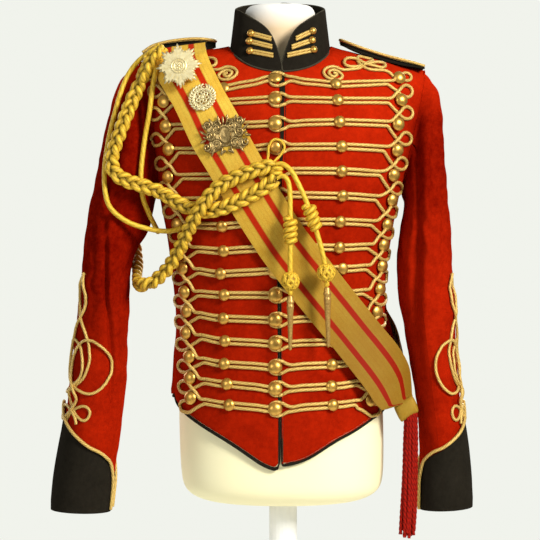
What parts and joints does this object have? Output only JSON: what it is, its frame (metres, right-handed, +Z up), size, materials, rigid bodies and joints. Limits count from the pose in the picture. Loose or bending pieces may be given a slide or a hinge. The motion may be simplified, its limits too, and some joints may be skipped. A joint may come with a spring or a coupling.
{
  "type": "hussar jacket on dress form",
  "caption": "Scarlet hussar jacket with gold frogging, black collar and cuffs, cross-belt and shoulder cords, standing on a limbless dress form with a pole and round base.",
  "frame": {"origin": "middle of the underside of the stand's base, on the floor", "axes": "+Z up, -Y towards the front of the jacket, +X towards the wearer's left"},
  "size_m": [0.6086, 0.2874, 0.944],
  "materials": {
    "scarlet_cloth": "scarlet wool cloth, matt and slightly felted",
    "black_cloth": "black wool facing cloth",
    "gold_cord": "antique gold twisted cord",
    "button_brass": "domed brass buttons, dull polish",
    "gold_lace": "woven gold lace with two red stripes",
    "bright_cord": "bright gold plaited cord",
    "red_cord": "red twisted tassel cord",
    "badge_metal": "stamped gilt metal",
    "form_cover": "cream stretch cover, smooth",
    "stand_paint": "off-white satin paint"
  },
  "bodies": {
    "root": {"aig_cord_inner": "bright_cord", "aig_cord_outer": "bright_cord", "aig_knot": "bright_cord", "aig_plait_back": "bright_cord", "aig_plait_front": "bright_cord", "aig_tail_1": "bright_cord", "aig_tail_2": "bright_cord", "back_left": "scarlet_cloth", "back_right": "scarlet_cloth", "badge_plaque": "badge_metal", "badge_star": "badge_metal", "badge_wreath": "badge_metal", "belt_back": "gold_lace", "belt_front": "gold_lace", "belt_keeper": "gold_lace", "belt_tassel": "red_cord", "collar_bar_left_1": "gold_cord", "collar_bar_left_2": "gold_cord", "collar_bar_left_3": "gold_cord", "collar_bar_right_1": "gold_cord", "collar_bar_right_2": "gold_cord", "collar_bar_right_3": "gold_cord", "collar_left": "black_cloth", "collar_right": "black_cloth", "cuff_cord_left": "gold_cord", "cuff_cord_right": "gold_cord", "cuff_left": "black_cloth", "cuff_right": "black_cloth", "edging_left": "black_cloth", "edging_right": "black_cloth", "form_torso": "form_cover", "frog_row_01": "gold_cord", "frog_row_02": "gold_cord", "frog_row_03": "gold_cord", "frog_row_04": "gold_cord", "frog_row_05": "gold_cord", "frog_row_06": "gold_cord", "frog_row_07": "gold_cord", "frog_row_08": "gold_cord", "frog_row_09": "gold_cord", "frog_row_10": "gold_cord", "frog_row_11": "gold_cord", "frog_row_12": "gold_cord", "frog_row_13": "gold_cord", "frog_row_14": "gold_cord", "frog_row_15": "gold_cord", "front_left": "scarlet_cloth", "front_right": "scarlet_cloth", "shoulder_braid_left": "gold_cord", "shoulder_braid_right": "gold_cord", "sleeve_knot_left": "gold_cord", "sleeve_knot_right": "gold_cord", "sleeve_under_left": "scarlet_cloth", "sleeve_under_right": "scarlet_cloth", "sleeve_upper_left": "scarlet_cloth", "sleeve_upper_right": "scarlet_cloth", "stand_base": "stand_paint", "stand_pole": "stand_paint", "strap_left": "black_cloth", "strap_right": "black_cloth"}
  },
  "joints": []
}
